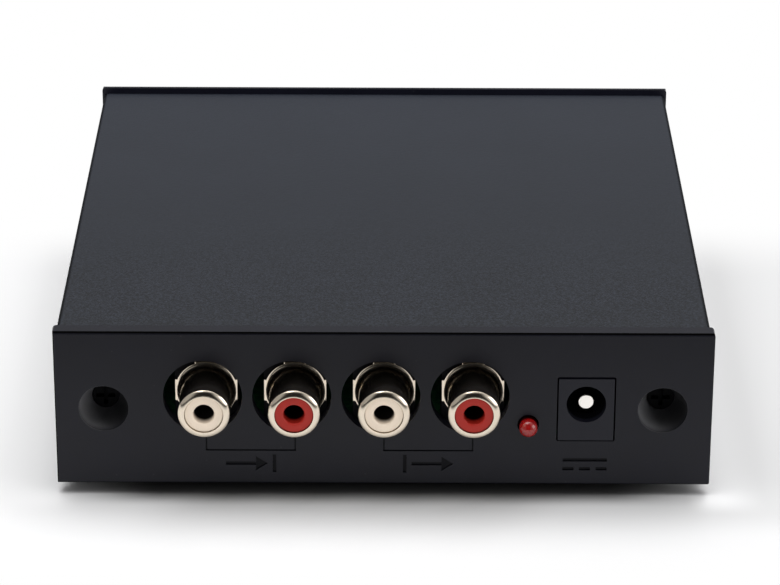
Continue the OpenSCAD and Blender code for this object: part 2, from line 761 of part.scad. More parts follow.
// The fixed contact that the leaf's ear rests against while no plug is in
module switch_contact_shape(gap) {
    post_x0 = switch_post_x - switch_post_w / 2;
    post_x1 = switch_post_x + switch_post_w / 2;
    finger_up = leaf_tip_down - switch_gap - switch_t;
    near_in = leaf_tip_in - tail_t / 2;
    far_in = leaf_tip_in + tail_t / 2;
    block([ear_w - switch_reach - gap, finger_up - gap, near_in - gap],
          [post_x1 + gap, leaf_tip_down - switch_gap + gap, far_in + gap]);
    block([post_x0 - gap, finger_up - gap, near_in - gap],
          [post_x1 + gap, dc_axis_h + board_t + leg_out + gap, far_in + gap]);
}

module dc_switch_contact() {
    color(nickel) at_dc() switch_contact_shape(0);
}

// ---- Lamp ----------------------------------------------------------------------------

module lamp() {
    dome_y = face_y - led_out + led_r;
    back_y = sleeve_y0 + 2 * seat_gap;
    color([0.75, 0.05, 0.05]) translate([led_x, 0, led_z]) {
        translate([0, dome_y, 0]) sphere(led_r);
        translate([0, dome_y, 0]) rotate([-90, 0, 0]) cylinder(h = back_y + led_flange_t - dome_y, r = led_r);
        translate([0, back_y, 0]) rotate([-90, 0, 0]) cylinder(h = led_flange_t, r = led_flange_r);
    }
}

module lamp_legs() {
    back_y = sleeve_y0 + 2 * seat_gap + led_flange_t;
    color(nickel) for (s = [-1, 1]) translate([led_x + s * led_leg_pitch / 2, 0, 0]) {
        block([-leg / 2, back_y, led_z - leg / 2], [leg / 2, face_y + led_leg_in + leg / 2, led_z + leg / 2]);
        block([-leg / 2, face_y + led_leg_in - leg / 2, board_z0 - leg_out],
              [leg / 2, face_y + led_leg_in + leg / 2, led_z + leg / 2]);
    }
}

// ---- Circuit board and its parts -----------------------------------------------------

// A square hole through the board for a leg or a tail
module board_hole(x, in, w, l) {
    translate([x, face_y + in, (board_z0 + board_z1) / 2])
        cube([w + 2 * leg_gap, l + 2 * leg_gap, board_t + over], center = true);
}

module circuit_board() {
    flange_in = panel_t + seat_gap;
    color([0.1, 0.35, 0.16]) difference() {
        block([-board_w / 2, board_y0, board_z0], [board_w / 2, board_y1, board_z1]);
        for (place = leg_places) board_hole(place[0], place[1], leg, leg);
        for (i = [0 : 3]) {
            board_hole(jack_x(i), flange_in + (flange_t - edge_slot) / 2, tail_w, flange_t + edge_slot);
            board_hole(jack_x(i), flange_in + contact_tail_y, tail_w, tail_t);
        }
        board_hole(dc_x, dc_tail_in - tail_t / 2, tail_w, tail_t);
        board_hole(dc_x, leaf_terminal_in - tail_t / 2, tail_w, tail_t);
        board_hole(dc_x + switch_post_x, leaf_tip_in, switch_post_w, tail_t);
    }
}

// A straight leg from a height down through the board
module straight_leg(x, in, z1) {
    block([x - leg / 2, face_y + in - leg / 2, board_z0 - leg_out],
          [x + leg / 2, face_y + in + leg / 2, z1]);
}

// A can capacitor with the groove round its foot and the scored lines in its top
module can_capacitor(x, in, r, h, pitch) {
    translate([x, face_y + in, board_z1 + part_lift]) difference() {
        cylinder(h = h, r = r);
        translate([0, 0, can_groove_h]) rotate_extrude()
            translate([r + can_groove_r - can_groove_depth, 0]) circle(can_groove_r, $fn = 24);
        for (a = [0, 60, 120]) rotate([0, 0, a])
            translate([0, 0, h]) cube([1.4 * r, can_vent_w, 2 * can_vent_w], center = true);
    }
    for (p = two_legs(x, in, pitch)) straight_leg(p[0], p[1], board_z1 + part_lift + leg_in);
}

module signal_cap(i) {
    color([0.1, 0.15, 0.4])
        can_capacitor(jack_x(i), signal_cap_in, signal_cap_r, signal_cap_h, cap_leg_pitch);
}

module supply_cap(in) {
    color([0.08, 0.08, 0.1]) can_capacitor(supply_parts_x, in, supply_cap_r, supply_cap_h, big_leg_pitch);
}

module film_cap(i) {
    color([0.7, 0.12, 0.1]) {
        block([jack_x(i) - film_cap_l / 2, face_y + film_cap_in - film_cap_w / 2, board_z1 + part_lift],
              [jack_x(i) + film_cap_l / 2, face_y + film_cap_in + film_cap_w / 2,
               board_z1 + part_lift + film_cap_h]);
        for (p = two_legs(jack_x(i), film_cap_in, film_leg_pitch))
            straight_leg(p[0], p[1], board_z1 + part_lift + leg_in);
    }
}

// An eight-legged chip: body with its notch
module amplifier_chip(p) {
    color([0.07, 0.07, 0.07]) translate([pair_x(p), face_y + chip_in, board_z1 + chip_lift])
        difference() {
            block([-chip_l / 2, -chip_w / 2, 0], [chip_l / 2, chip_w / 2, chip_t]);
            translate([-chip_l / 2, 0, chip_t - chip_notch_depth])
                cylinder(h = chip_notch_depth + over, r = chip_notch_r);
        }
}

// The chip's legs: out of its sides, then down through the board
module chip_legs(p) {
    top = board_z1 + chip_lift + chip_t / 2;
    color(nickel) for (at = chip_legs_at(p)) {
        side = at[1] > chip_in ? 1 : -1;
        straight_leg(at[0], at[1], top);
        translate([at[0], face_y + chip_in + side * (chip_w / 2 + chip_row) / 2, top - leg / 2])
            cube([leg, chip_row - chip_w / 2, leg], center = true);
    }
}

// A part that lies between two bent legs
module axial_part(x, in, r, l, pitch) {
    axis_z = board_z1 + part_lift + r;
    translate([x, face_y + in, axis_z]) rotate([0, 90, 0]) cylinder(h = l, r = r, center = true);
    translate([x, face_y + in, axis_z]) cube([pitch + leg, leg, leg], center = true);
    for (p = two_legs(x, in, pitch)) straight_leg(p[0], p[1], axis_z);
}

module resistors() {
    color([0.25, 0.45, 0.6]) for (p = [0, 1], k = [0 : resistor_count - 1])
        axial_part(resistor_at(p, k)[0], resistor_at(p, k)[1], resistor_r, resistor_l, resistor_leg_pitch);
}

module diode() {
    color([0.09, 0.09, 0.09])
        axial_part(supply_parts_x, diode_in, diode_r, diode_l, resistor_leg_pitch);
}

// A choke: a wound core between two round cheeks
module supply_choke() {
    color([0.3, 0.28, 0.26]) {
        translate([supply_parts_x, face_y + choke_in, board_z1 + part_lift]) {
            cylinder(h = choke_cheek_t, r = choke_r);
            cylinder(h = choke_h, r = choke_r - choke_core_in);
            translate([0, 0, choke_h - choke_cheek_t]) cylinder(h = choke_cheek_t, r = choke_r);
        }
        for (p = two_legs(supply_parts_x, choke_in, big_leg_pitch))
            straight_leg(p[0], p[1], board_z1 + part_lift + leg_in);
    }
}

// A three-legged regulator: a round body with one flat side
module regulator() {
    color([0.07, 0.07, 0.07]) {
        translate([supply_parts_x, face_y + regulator_in, board_z1 + regulator_lift])
            difference() {
                cylinder(h = regulator_h, r = regulator_r);
                block([-regulator_r - over, -regulator_r - over, -over],
                      [regulator_r + over, -regulator_flat, regulator_h + over]);
            }
        for (s = [-1 : 1])
            straight_leg(supply_parts_x + s * leg_pitch, regulator_in, board_z1 + regulator_lift + leg_in);
        translate([supply_parts_x, face_y + regulator_in, board_z1 + regulator_lift - leg / 2])
            cube([2 * leg_pitch + leg, leg, leg], center = true);
    }
}

// ---- Everything in place -------------------------------------------------------------

sleeve();
connector_panel();
far_panel();
panel_screws();
foot(-1, false);  // foot_near_left
foot(1, false);  // foot_near_right
foot(-1, true);  // foot_far_left
foot(1, true);  // foot_far_right
circuit_board();
phono_shell(0);  // shell_in_white
phono_shell(1);  // shell_in_red
phono_shell(2);  // shell_out_white
phono_shell(3);  // shell_out_red
phono_insulator(0);  // insulator_in_white
phono_insulator(1);  // insulator_in_red
phono_insulator(2);  // insulator_out_white
phono_insulator(3);  // insulator_out_red
phono_contact(0);  // contact_in_white
phono_contact(1);  // contact_in_red
phono_contact(2);  // contact_out_white
phono_contact(3);  // contact_out_red
phono_housing(0);  // housing_in_white
phono_housing(1);  // housing_in_red
phono_housing(2);  // housing_out_white
phono_housing(3);  // housing_out_red
dc_housing();
dc_pin();
dc_spring_leaf();
dc_leaf_terminal();
dc_switch_contact();
lamp();
lamp_legs();
signal_cap(0);  // signal_cap_in_white
signal_cap(1);  // signal_cap_in_red
signal_cap(2);  // signal_cap_out_white
signal_cap(3);  // signal_cap_out_red
film_cap(0);  // film_cap_in_white
film_cap(1);  // film_cap_in_red
film_cap(2);  // film_cap_out_white
film_cap(3);  // film_cap_out_red
amplifier_chip(0);  // amplifier_chip_left
amplifier_chip(1);  // amplifier_chip_right
chip_legs(0);  // chip_legs_left
chip_legs(1);  // chip_legs_right
resistors();
diode();
supply_cap(supply_cap_raw_in);  // supply_cap_raw
supply_cap(supply_cap_clean_in);  // supply_cap_clean
supply_choke();
regulator();
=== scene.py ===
"""Phono preamp: sockets, lamp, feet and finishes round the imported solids, with a plain studio.

Lengths are in metres in the mesh code and in millimetres in the named sizes. The frame is the
part's own: X to the right when the sockets face the viewer, Y away from the viewer, Z up.
"""

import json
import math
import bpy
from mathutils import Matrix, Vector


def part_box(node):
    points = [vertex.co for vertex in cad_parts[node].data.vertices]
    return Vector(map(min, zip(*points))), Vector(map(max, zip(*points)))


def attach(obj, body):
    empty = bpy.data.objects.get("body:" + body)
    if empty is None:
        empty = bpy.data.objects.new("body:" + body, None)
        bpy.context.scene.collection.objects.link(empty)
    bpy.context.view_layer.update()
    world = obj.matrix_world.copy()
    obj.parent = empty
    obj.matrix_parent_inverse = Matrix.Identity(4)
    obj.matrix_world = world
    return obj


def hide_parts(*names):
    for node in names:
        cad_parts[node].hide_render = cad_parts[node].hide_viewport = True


bl_info = {
    "name": "Phono preamp",
    "version": (1, 0, 0),
    "blender": (4, 5, 0),
    "location": "3D View > Sidebar > Phono preamp",
    "description": "Sockets, lamp, feet, finishes, light and camera of a small phono preamp",
    "category": "Add Mesh",
}

import bmesh
import bpy
import numpy as np
from bpy.props import FloatProperty, FloatVectorProperty, PointerProperty
from mathutils import Matrix, Vector

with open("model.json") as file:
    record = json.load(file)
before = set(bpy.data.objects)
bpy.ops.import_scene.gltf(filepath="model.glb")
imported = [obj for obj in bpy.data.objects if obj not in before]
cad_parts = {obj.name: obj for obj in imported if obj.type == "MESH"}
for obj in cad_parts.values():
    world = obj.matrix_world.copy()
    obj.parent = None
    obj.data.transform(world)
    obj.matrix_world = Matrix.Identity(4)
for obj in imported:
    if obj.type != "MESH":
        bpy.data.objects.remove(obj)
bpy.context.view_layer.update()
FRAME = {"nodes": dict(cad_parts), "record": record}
MM = 0.001
# Edges that turn by more than this stay sharp
SMOOTH_DEG = 40
SOCKETS = ("in_white", "in_red", "out_white", "out_red")
FEET = ("near_left", "near_right", "far_left", "far_right")


# ---- Places read from the frame -----------------------------------------------------------


def middle(node):
    """The middle of a node's box."""
    low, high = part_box(node)
    return (low + high) / 2


FACE_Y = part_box("connector_panel")[0].y
FAR_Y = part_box("far_panel")[1].y
SLEEVE_HALF_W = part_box("sleeve")[1].x
NOSE_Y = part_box("shell_in_white")[0].y
BOARD_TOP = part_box("circuit_board")[1].z
SCREW_HEAD_R = (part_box("panel_screws")[1].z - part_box("panel_screws")[0].z) / 2


def socket_axis(name):
    """Where a phono socket's axis lies, as (x, z): the insulator is round about it."""
    at = middle("insulator_" + name)
    return at.x, at.z


# ---- Sizes and colours --------------------------------------------------------------------


def length(name, description, default, low=0.0, high=1000.0):
    """A property that holds a length in millimetres."""
    return FloatProperty(name=name, description=description, default=default, min=low, max=high, precision=3)


def colour(name, description, default):
    """A property that holds a colour, in linear light."""
    return FloatVectorProperty(
        name=name, description=description, default=default, size=3, min=0, max=1, subtype="COLOR"
    )


def share(name, description, default, high=1.0):
    """A property that holds a plain number from 0 up."""
    return FloatProperty(name=name, description=description, default=default, min=0, max=high, precision=3)


class SocketSizes(bpy.types.PropertyGroup):
    """Sizes of the phono sockets' turned and stamped pieces, in millimetres."""

    shell_r: length("Shell radius", "Outer radius of a shell", 4.15)
    shell_wall: length("Shell wall", "Thickness of a shell's tube", 0.5)
    shell_l: length("Shell length", "From the flange's face to the mouth", 9.4)
    nose_r: length("Nose rounding", "Radius of the arc across a shell's mouth", 1.27)
    nose_edge: length("Nose edge", "Rounding where the arc meets the tube", 0.08)
    rim_l: length("Rim length", "Length of the thick rim at the mouth", 1.3)
    mouth_r: length("Mouth radius", "Inner radius of the mouth", 3.13)
    root_r: length("Root rounding", "Rounding between tube and flange", 0.85)
    flange_r: length("Flange radius", "Radius of the stamped flange", 5.02)
    flange_t: length("Flange thickness", "Thickness of the flange", 0.4)
    flange_edge: length("Flange edge", "Rounding of the flange's edges", 0.1)
    lug_half_w: length("Top lug", "Half the width of the lug on top", 1.8)
    lug_out: length("Lug reach", "Distance of the lugs' ends from the axis", 5.1)
    lug_half_h: length("Side lugs", "Half the height of the side lugs", 1.93)
    tail_w: length("Tail width", "Width of the tail that goes into the board", 1.2)
    tail_below: length("Tail end", "How far the tail ends below the board's top", 2.6)
    bore_r: length("Bore radius", "Radius of the bore for a plug's pin", 1.65)
    bore_round: length("Bore rounding", "Rounding of the bore's mouth", 0.3)
    plug_r: length("Insulator radius", "Radius of the insulator's face", 3.08)
    plug_round: length("Insulator rounding", "Rounding of the insulator's rim", 0.12)
    plug_recess: length("Insulator recess", "Depth of its face behind the mouth", 0.25)


class SmallPieces(bpy.types.PropertyGroup):
    """Sizes of the lamp, the power socket's pin and the feet, in millimetres."""

    lamp_r: length("Lamp radius", "Radius of the lamp's body", 1.5)
    lamp_dome: length("Lamp dome", "Height of the lamp's dome", 1.3)
    lamp_flange_r: length("Lamp flange", "Radius of the lamp's flange", 1.9)
    lamp_flange_t: length("Lamp flange thickness", "Thickness of the lamp's flange", 1.0)
    pin_r: length("Pin radius", "Radius of the power socket's pin", 1.25)
    pin_round: length("Pin rounding", "Rounding of the pin's tip", 0.12)
    pin_root: length("Pin root", "Radius of the pin's root in the housing", 1.7)
    pin_root_l: length("Root length", "Length of that root", 2.1)
    pin_tail_w: length("Pin's tail", "Width of the pin's tail", 1.2)
    pin_tail_t: length("Tail thickness", "Thickness of the pin's tail", 0.4)
    foot_round: length("Foot rounding", "Rounding of a foot's lower edge", 0.8)
    foot_dish: length("Foot dish", "Depth of the dish under a foot", 0.3)


class Colours(bpy.types.PropertyGroup):
    """The main colours, in linear light."""

    coat: colour("Powder coat", "Colour of the sleeve", (0.013, 0.0155, 0.022))
    panel: colour("Panel", "Colour of the moulded panels", (0.005, 0.0053, 0.0105))
    nickel: colour("Nickel", "Colour of the shells", (0.74, 0.65, 0.53))
    ivory: colour("Ivory", "Colour of the pale insulators", (0.80, 0.68, 0.55))
    red: colour("Red", "Colour of the red insulators", (0.335, 0.018, 0.011))
    lamp: colour("Lamp", "Colour of the lamp", (0.25, 0.005, 0.005))


class Studio(bpy.types.PropertyGroup):
    """Camera and light."""

    camera_at: FloatVectorProperty(
        name="Camera",
        description="Place of the camera, in millimetres",
        default=(0.06, -565.2, 264.48),
        size=3,
    )
    yaw: FloatProperty(name="Yaw", description="Turn to the right, in degrees", default=0.107)
    pitch: FloatProperty(name="Pitch", description="Tilt downwards, in degrees", default=24.018)
    roll: FloatProperty(name="Roll", description="Roll of the camera, in degrees", default=0.25)
    lens: FloatProperty(name="Lens", description="Focal length on a 36 mm sensor", default=162.55)
    floor: colour("Floor", "Colour of the floor", (0.88, 0.88, 0.886))
    floor_right: share("Floor on the right", "How bright the floor is there, to the left's 1", 0.81)
    floor_dark: colour("Dark floor", "Colour of the floor far in front of the object", (0.03, 0.03, 0.03))
    room: share("Room", "Brightness of the room's walls behind the object", 0.16)
    sides: share("Sides", "Brightness of the room's sides", 0.55)
    ceiling: share("Ceiling", "Brightness of the room's ceiling", 1.2, 10.0)
    dark_room: share("Dark side", "Brightness of the dark side behind the camera", 0.015)
    top_w: share("Top light", "Power of the softbox overhead, in watts", 9.0, 200.0)
    front_w: share("Front light", "Power of the soft fill in front, in watts", 5.0, 200.0)
    right_w: share("Right light", "Power of the softbox on the right, in watts", 4.0, 200.0)
    back_w: share("Back light", "Power of the softbox behind, in watts", 1.0, 200.0)


def sizes():
    """The scene's own copy of every property group."""
    scene = bpy.context.scene
    return scene.preamp_sockets, scene.preamp_small, scene.preamp_colours, scene.preamp_studio


# ---- Meshes -------------------------------------------------------------------------------


def rounded(corners, radii, steps=8, closed=False):
    """A path through corners, each turned by an arc of its own radius.

    The arc's centre lies on the corner's bisector, radius / sin(half angle) from it, and its
    points turn evenly from one tangent point's direction to the other's.
    """
    p = np.asarray(corners, float)
    r = np.broadcast_to(np.asarray(radii, float), len(p)).copy()
    if not closed:
        r[[0, -1]] = 0
    before, after = np.roll(p, 1, 0) - p, np.roll(p, -1, 0) - p
    a = before / np.linalg.norm(before, axis=1, keepdims=True)
    b = after / np.linalg.norm(after, axis=1, keepdims=True)
    half = np.arccos(np.clip((a * b).sum(1), -1, 1)) / 2
    bisector = a + b
    bisector /= np.maximum(np.linalg.norm(bisector, axis=1, keepdims=True), 1e-9)
    centre = p + bisector * (r / np.sin(half))[:, None]
    touch = (r / np.tan(half))[:, None]
    start, end = p + a * touch - centre, p + b * touch - centre
    span = math.pi - 2 * half
    t = np.linspace(0, 1, steps + 1)[None, :, None]
    angle = np.maximum(span, 1e-6)[:, None, None]
    arc = (np.sin((1 - t) * angle) * start[:, None] + np.sin(t * angle) * end[:, None]) / np.sin(angle)
    points = centre[:, None] + arc
    kept = [points[i] if r[i] > 0 else p[i : i + 1] for i in range(len(p))]
    return np.concatenate(kept)


def grid_faces(n_u, n_v, wrap_u=False, wrap_v=False, start=0):
    """The quads of a grid of n_u by n_v points. A wrapped way joins its last row to its first."""
    u, v = np.meshgrid(np.arange(n_u - (not wrap_u)), np.arange(n_v - (not wrap_v)), indexing="ij")
    u2, v2 = (u + 1) % n_u, (v + 1) % n_v
    quads = np.stack([u * n_v + v, u2 * n_v + v, u2 * n_v + v2, u * n_v + v2], -1)
    return quads.reshape(-1, 4) + start


def lathe(profile, segments=128, closed=True):
    """A profile of (radius, height) turned about the Z axis: x = r cos a, y = r sin a, z = height."""
    profile = np.asarray(profile, float)
    turn = np.linspace(0, 2 * math.pi, segments, endpoint=False)
    r, h = profile[:, :1], profile[:, 1:]
    points = np.stack([r * np.cos(turn), r * np.sin(turn), h + 0 * turn], -1)
    return points.reshape(-1, 3), grid_faces(len(profile), segments, closed, True)


def slab(low, high):
    """The points and faces of a box, as a 2 by 2 by 2 grid of corners."""
    x, y, z = np.meshgrid(*zip(low, high), indexing="ij")
    points = np.stack([x, y, z], -1).reshape(-1, 3)
    faces = [(0, 1, 3, 2), (4, 6, 7, 5), (0, 4, 5, 1), (2, 3, 7, 6), (0, 2, 6, 4), (1, 5, 7, 3)]
    return points, np.array(faces)


def socket_frame(x, z, y0):
    """Turns a piece made about its own Z axis so that the axis points out of the panel."""
    turn = Matrix(((1, 0, 0), (0, 0, -1), (0, 1, 0)))
    return Matrix.Translation(Vector((x, y0, z))) @ turn.to_4x4()


def solid_piece(name, parts, place, body, slot, replaces):
    """Joins (points, faces) parts, in millimetres, into one piece, riding on its body.

    It wears its slot's material and stands in for the nodes that it replaces.
    """
    points = np.concatenate([p for p, _ in parts]) * MM
    starts = np.cumsum([0] + [len(p) for p, _ in parts[:-1]])
    faces = [tuple(f + start) for (_, fs), start in zip(parts, starts) for f in np.asarray(fs)]
    mesh = bpy.data.meshes.new(name)
    mesh.from_pydata(points.tolist(), [], faces)
    mesh.transform(place)
    bm = bmesh.new()
    bm.from_mesh(mesh)
    bmesh.ops.remove_doubles(bm, verts=bm.verts, dist=1e-7)
    bmesh.ops.recalc_face_normals(bm, faces=bm.faces)
    bm.to_mesh(mesh)
    bm.free()
    mesh.materials.append(FINISHES[slot])
    mesh.polygons.foreach_set("use_smooth", np.ones(len(mesh.polygons), bool))
    mesh.set_sharp_from_angle(angle=math.radians(SMOOTH_DEG))
    piece = bpy.data.objects.new(name, mesh)
    bpy.context.scene.collection.objects.link(piece)
    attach(piece, body)
    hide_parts(*replaces)


# ---- Shader maths -------------------------------------------------------------------------


class Value:
    """A socket of a node tree. An expression on values adds its Math nodes."""

    def __init__(self, shader, socket):
        self.shader, self.socket = shader, socket

    def math(self, operation, *inputs, clamp=False):
        settings = {"operation": operation, "use_clamp": clamp}
        return self.shader.node("ShaderNodeMath", settings, *inputs)

    def __add__(self, other):
        return self.math("ADD", self, other)

    def __sub__(self, other):
        return self.math("SUBTRACT", self, other)

    def __rsub__(self, other):
        return self.math("SUBTRACT", other, self)

    def __mul__(self, other):
        return self.math("MULTIPLY", self, other)

    def __truediv__(self, other):
        return self.math("DIVIDE", self, other)

    def __pow__(self, other):
        return self.math("POWER", self, other)

    __radd__, __rmul__ = __add__, __mul__

    def clamped(self):
        return self.math("ADD", self, 0.0, clamp=True)

    def step(self, low, high):
        """0 below low and 1 above high, with a smooth rise between."""
        settings = {"interpolation_type": "SMOOTHSTEP"}
        return self.shader.node("ShaderNodeMapRange", settings, self, low, high, 0.0, 1.0)

    def out(self, name):
        """Another output of the same node."""
        return Value(self.shader, self.socket.node.outputs[name])


class Shader:
    """A material's node tree, with its object coordinates and its surface shader."""

    def __init__(self, name):
        self.material = bpy.data.materials.new(name)
        self.material.use_nodes = True
        self.tree = self.material.node_tree
        self.surface = self.tree.nodes["Principled BSDF"]
        self.at = self.node("ShaderNodeTexCoord", {}).out("Object")

    @classmethod
    def of(cls, tree):
        """The same methods on a tree that isn't a material's."""
        made = cls.__new__(cls)
        made.tree = tree
        return made

    def node(self, kind, settings, *inputs, **named):
        """Any node: its settings first, then the values or links of its sockets, in order or by name."""
        made = self.tree.nodes.new(kind)
        for key, setting in settings.items():
            setattr(made, key, setting)
        for key, value in [*enumerate(inputs), *named.items()]:
            socket = made.inputs[key.replace("_", " ") if isinstance(key, str) else key]
            self.feed(socket, value)
        return Value(self, made.outputs[0])

    def feed(self, socket, value):
        """Links a value to a socket, or sets the socket to a plain number or colour."""
        if isinstance(value, Value):
            self.tree.links.new(value.socket, socket)
        else:
            socket.default_value = value

    def set(self, **sockets):
        """Sets or links the surface shader's own sockets."""
        for key, value in sockets.items():
            self.feed(self.surface.inputs[key.replace("_", " ")], value)
        return self

    def mix_surface(self, factor, other):
        """Shows another surface in this one's place, by a factor of 0 to 1."""
        own = Value(self, self.surface.outputs[0])
        mixed = self.node("ShaderNodeMixShader", {}, factor, own, other)
        output = self.tree.nodes["Material Output"]
        self.tree.links.new(mixed.socket, output.inputs["Surface"])

    def shaded(self, factor):
        """Paints shade: mixes in a dead black surface, by a factor of 0 to 1."""
        dead_black = (0.002, 0.002, 0.002, 1.0)
        black = self.node("ShaderNodeBsdfPrincipled", {}, Base_Color=dead_black, Roughness=1.0)
        black.socket.node.inputs["Specular IOR Level"].default_value = 0.0
        self.mix_surface(factor, black)

    def noise(self, size_mm, detail=2.0, roughness=0.5, at=None):
        """Noise with features of about that size."""
        scale = 1 / (size_mm * MM)
        settings = {"noise_dimensions": "3D"}
        where = self.at if at is None else at
        return self.node(
            "ShaderNodeTexNoise", settings, Vector=where, Scale=scale, Detail=detail, Roughness=roughness
        )

    def cells(self, size_mm, feature="F1"):
        """Distance to the nearest of scattered points about that far apart."""
        scale = 1 / (size_mm * MM)
        return self.node("ShaderNodeTexVoronoi", {"feature": feature}, Vector=self.at, Scale=scale)

    def stretched(self, x, y, z):
        """Object coordinates with each axis scaled."""
        return self.node("ShaderNodeMapping", {}, Vector=self.at, Scale=(x, y, z))

    def mix(self, factor, a, b):
        """Colour a where factor is 0 and colour b where it is 1."""
        made = self.tree.nodes.new("ShaderNodeMix")
        made.data_type = "RGBA"
        for index, value in ((0, factor), (6, a), (7, b)):
            if isinstance(value, tuple) and len(value) == 3:
                value = (*value, 1.0)
            self.feed(made.inputs[index], value)
        return Value(self, made.outputs[2])

    def bump(self, height, depth_mm):
        """A normal from a height of 0 to 1 that stands for that depth."""
        return self.node("ShaderNodeBump", {}, Height=height, Distance=depth_mm * MM, Strength=1.0)


def tint(rgb, gain):
    """A colour made lighter or darker."""
    return tuple(min(1.0, c * gain) for c in rgb)


# ---- Materials ----------------------------------------------------------------------------


def powder_coat(colours):
    """Sleeve: grains of powder that have run together, with a faint cloudiness.

    Specks show more on the third that is near the sockets. The coat gets paler away from them,
    a painted sheen, and the turned edges at the sides are partly dead black: painted shade.
    """
    s = Shader("powder_coat")
    grain = s.noise(0.55, detail=3.0, roughness=0.6)
    lumps = s.cells(0.75, "SMOOTH_F1")
    height = grain * 0.6 + lumps * 0.5
    cloud = s.noise(18.0, detail=2.0)
    base = tuple(colours.coat)
    place = s.node("ShaderNodeSeparateXYZ", {}, s.at)
    near_ends, far_starts = -0.045, 0.005
    near = 1 - place.out("Y").step(near_ends, far_starts)
    specks = (s.noise(0.32, detail=1.0) - 0.5) * (near * 1.6 + 0.15)
    # Painted sheen: the coat gets paler towards the far end, where the top is seen at a grazing angle
    along = place.out("Y") * 4.0
    shade = (grain.step(0.35, 0.7) * 0.15 + cloud * 0.15 + 0.25 + along + specks).clamped()
    x = place.out("X")
    # Painted shade: the turned edges at the sides are mixed towards dead black
    edge_starts, edge_full = SLEEVE_HALF_W - 0.75 * MM, SLEEVE_HALF_W - 0.3 * MM
    turned = x.math("ABSOLUTE", x).step(edge_starts, edge_full)
    s.set(
        Base_Color=s.mix(shade, tint(base, 0.4), tint(base, 2.0)),
        Roughness=0.46 + grain * 0.14,
        Normal=s.bump(height, 0.05),
        Specular_IOR_Level=0.28,
    )
    s.shaded(turned * 0.75)
    return s.material


def moulded_panel(colours):
    """End panels: a mould's faint grain, a few rubbed spots and specks of dust.

    The screw wells, round about the screws' axes, carry painted light: they are much paler than
    the face, and paler on their left than on their right, whatever the light. The rounded edges,
    which lie just behind the faces, are dead black, and the sunk marks and the holes' rims are
    partly so: painted shade.
    """
    s = Shader("moulded_panel")
    screws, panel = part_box("panel_screws"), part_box("connector_panel")
    place = s.node("ShaderNodeSeparateXYZ", {}, s.at)
    x = place.out("X")
    across = x - x.math("SIGN", x) * (screws[1].x - SCREW_HEAD_R)
    up = place.out("Z") - (screws[0].z + screws[1].z) / 2
    away = (across * across + up * up) ** 0.5
    well_inside, well_outside = 0.00385, 0.0041
    well = 1 - away.step(well_inside, well_outside)
    y, z = place.out("Y"), place.out("Z")
    behind_mm = y.math("MINIMUM", y - FACE_Y, FAR_Y - y) / MM
    # Painted shade: dead black on the rounded edges just behind the faces, partly on the sunk marks and hole
    # rims
    edge = behind_mm.step(0.03, 0.09) * (1 - behind_mm.step(0.42, 0.48)) * (1 - well)
    rim_w, mark_share = 0.8 * MM, 0.55
    half_h = (panel[1].z - panel[0].z) / 2 - rim_w
    out_x = x.math("ABSOLUTE", x) - (panel[1].x - rim_w)
    off_middle = z - (panel[0].z + panel[1].z) / 2
    rim = out_x.math("MAXIMUM", out_x, z.math("ABSOLUTE", off_middle) - half_h)
    edge = edge * (mark_share + rim.step(0, 0.1 * MM) * (1 - mark_share))
    grain = s.noise(0.12, detail=2.0)
    rub = s.noise(9.0, detail=4.0, roughness=0.65)
    speck = s.cells(2.6)
    dust = 1 - speck.step(0.035, 0.07)
    base = tuple(colours.panel)
    tone = s.mix(rub.step(0.3, 0.75), tint(base, 0.9), tint(base, 1.15))
    tone = s.mix(dust * 0.15, tone, (0.09, 0.09, 0.1))
    # Painted light in the wells: pale on the left as if lit from the right, dark on the right
    painted_lit_left, painted_shade_right = (0.19, 0.19, 0.2), (0.025, 0.025, 0.027)
    painted_well_light = s.mix(across.step(-0.0036, 0.0036), painted_lit_left, painted_shade_right)
    s.set(
        Base_Color=s.mix(well, tone, painted_well_light),
        Roughness=0.32 + rub * 0.1 + grain * 0.04,
        Normal=s.bump(grain, 0.006),
        Specular_IOR_Level=0.28,
    )
    s.shaded(edge)
    return s.material


def plated(name, colour, roughness=0.13):
    """Plated metal: polished, with fine turning marks and a slight cloudiness."""
    s = Shader(name)
    cloud = s.noise(2.2, detail=3.0)
    pits = s.noise(0.09, detail=2.0)
    s.set(
        Base_Color=s.mix(cloud, tint(colour, 0.93), tint(colour, 1.05)),
        Metallic=1.0,
        Roughness=roughness + cloud * 0.05,
        Normal=s.bump(pits, 0.0015),
    )
    return s.material


def insulator_plastic(name, colour, front_mm, shade_mm):
    """An insulator: nylon at its front, and nearly black behind it: painted shade in the bore, where the
    contact lies.
    """
    s = Shader(name)
    grain = s.noise(0.15, detail=2.0)
    cloud = s.noise(3.0, detail=3.0)
    y = s.node("ShaderNodeSeparateXYZ", {}, s.at).out("Y")
    # Painted shade: the bore's walls turn nearly black deeper in
    deep = y.step(NOSE_Y + (front_mm - shade_mm) * MM, NOSE_Y + (front_mm + 0.25) * MM)
    nylon = s.mix(cloud, tint(colour, 0.93), tint(colour, 1.05))
    s.set(
        Base_Color=s.mix(deep, nylon, tint(colour, 0.008)),
        Roughness=0.36 + cloud * 0.08,
        Normal=s.bump(grain, 0.004),
        Specular_IOR_Level=0.3,
    )
    return s.material


def plastic_shader(name, colour, roughness=0.35, depth_mm=0.004, grain_mm=0.15, **more):
    """Moulded or cast plastic: fine grain, slight changes of tone and gloss."""
    s = Shader(name)
    grain = s.noise(grain_mm, detail=2.0)
    cloud = s.noise(3.0, detail=3.0)
    s.set(
        Base_Color=s.mix(cloud, tint(colour, 0.9), tint(colour, 1.08)),
        Roughness=roughness + cloud * 0.08,
        Normal=s.bump(grain, depth_mm),
        **more,
    )
    return s


def plain_plastic(*look):
    """A material of plastic alone."""
    return plastic_shader(*look).material


